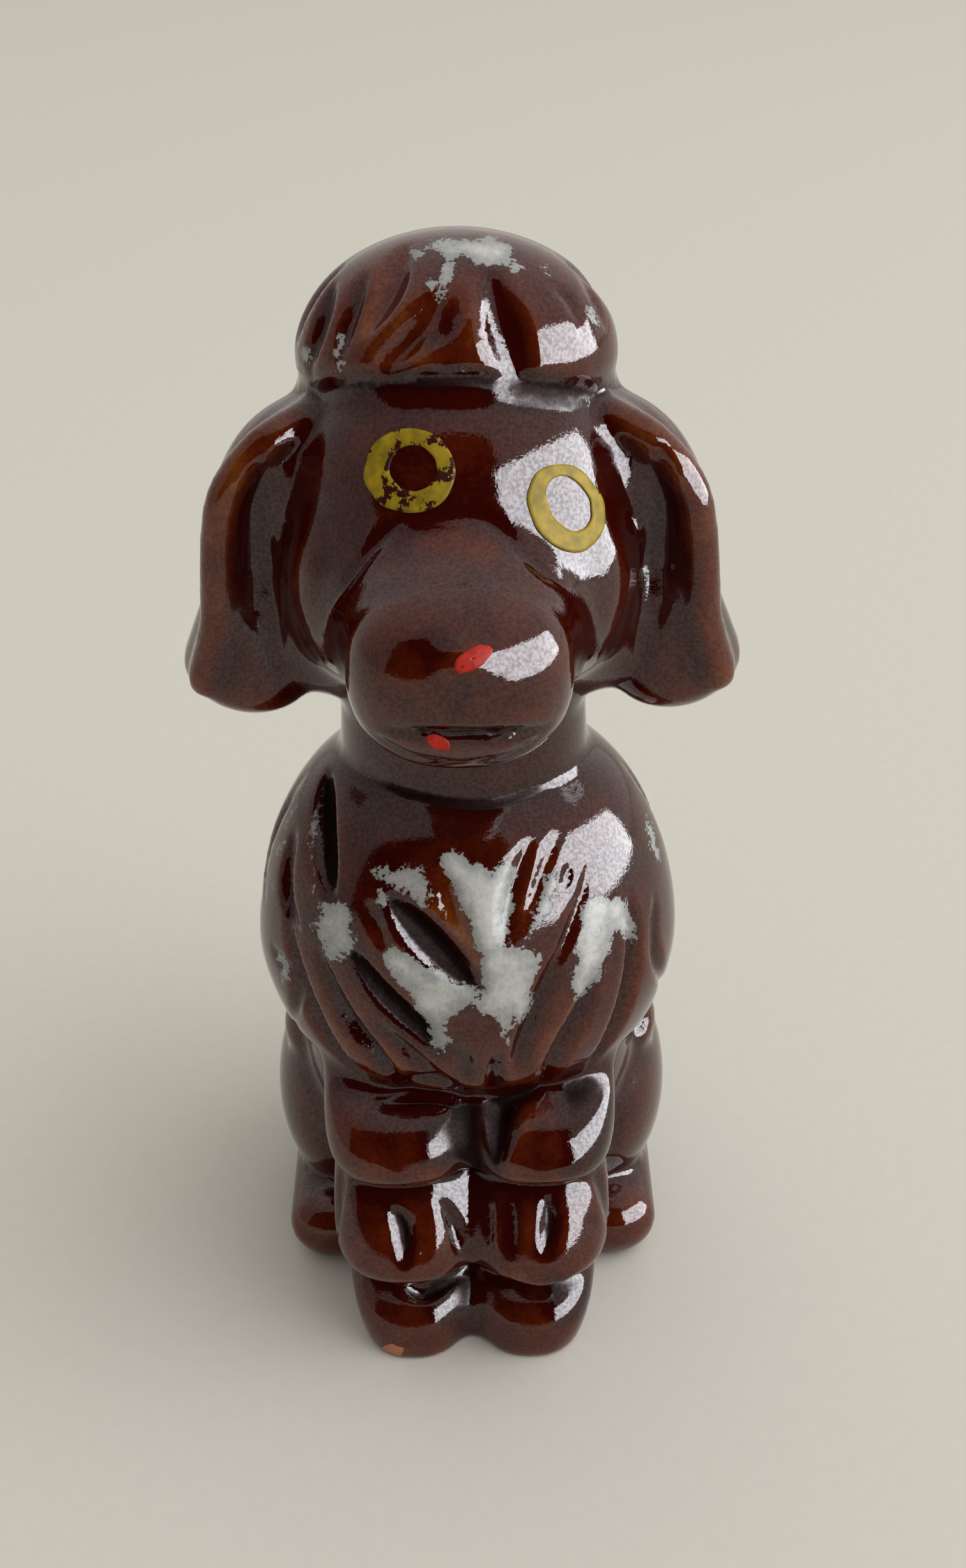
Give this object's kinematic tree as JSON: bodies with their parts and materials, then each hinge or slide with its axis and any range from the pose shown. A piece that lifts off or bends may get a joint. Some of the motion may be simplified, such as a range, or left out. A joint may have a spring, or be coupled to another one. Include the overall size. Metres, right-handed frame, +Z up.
{
  "type": "poodle figurine",
  "caption": "Seated poodle ornament in glossy brown redware, with topknot, hanging ears, gouged chest hair, leg cuffs and painted eyes, nose and mouth.",
  "frame": {"origin": "on the table, under the middle of the figure's bounding box", "axes": "+Z up, the dog looks along -Y, its left side is +X"},
  "size_m": [0.038, 0.0464, 0.0811],
  "materials": {
    "redware_glaze": "glossy brown glaze over red clay, worn white paint in places",
    "yellow_paint": "hand-painted cold enamel, semi-gloss",
    "red_paint": "hand-painted cold enamel, semi-gloss"
  },
  "bodies": {
    "root": {"torso": "redware_glaze", "head": "redware_glaze", "topknot": "redware_glaze", "left_ear": "redware_glaze", "right_ear": "redware_glaze", "left_foreleg": "redware_glaze", "right_foreleg": "redware_glaze", "left_hind_leg": "redware_glaze", "right_hind_leg": "redware_glaze", "tail": "redware_glaze", "left_eye_ring": "yellow_paint", "right_eye_ring": "yellow_paint", "nose_dab": "red_paint", "mouth_dab": "red_paint"}
  },
  "joints": []
}
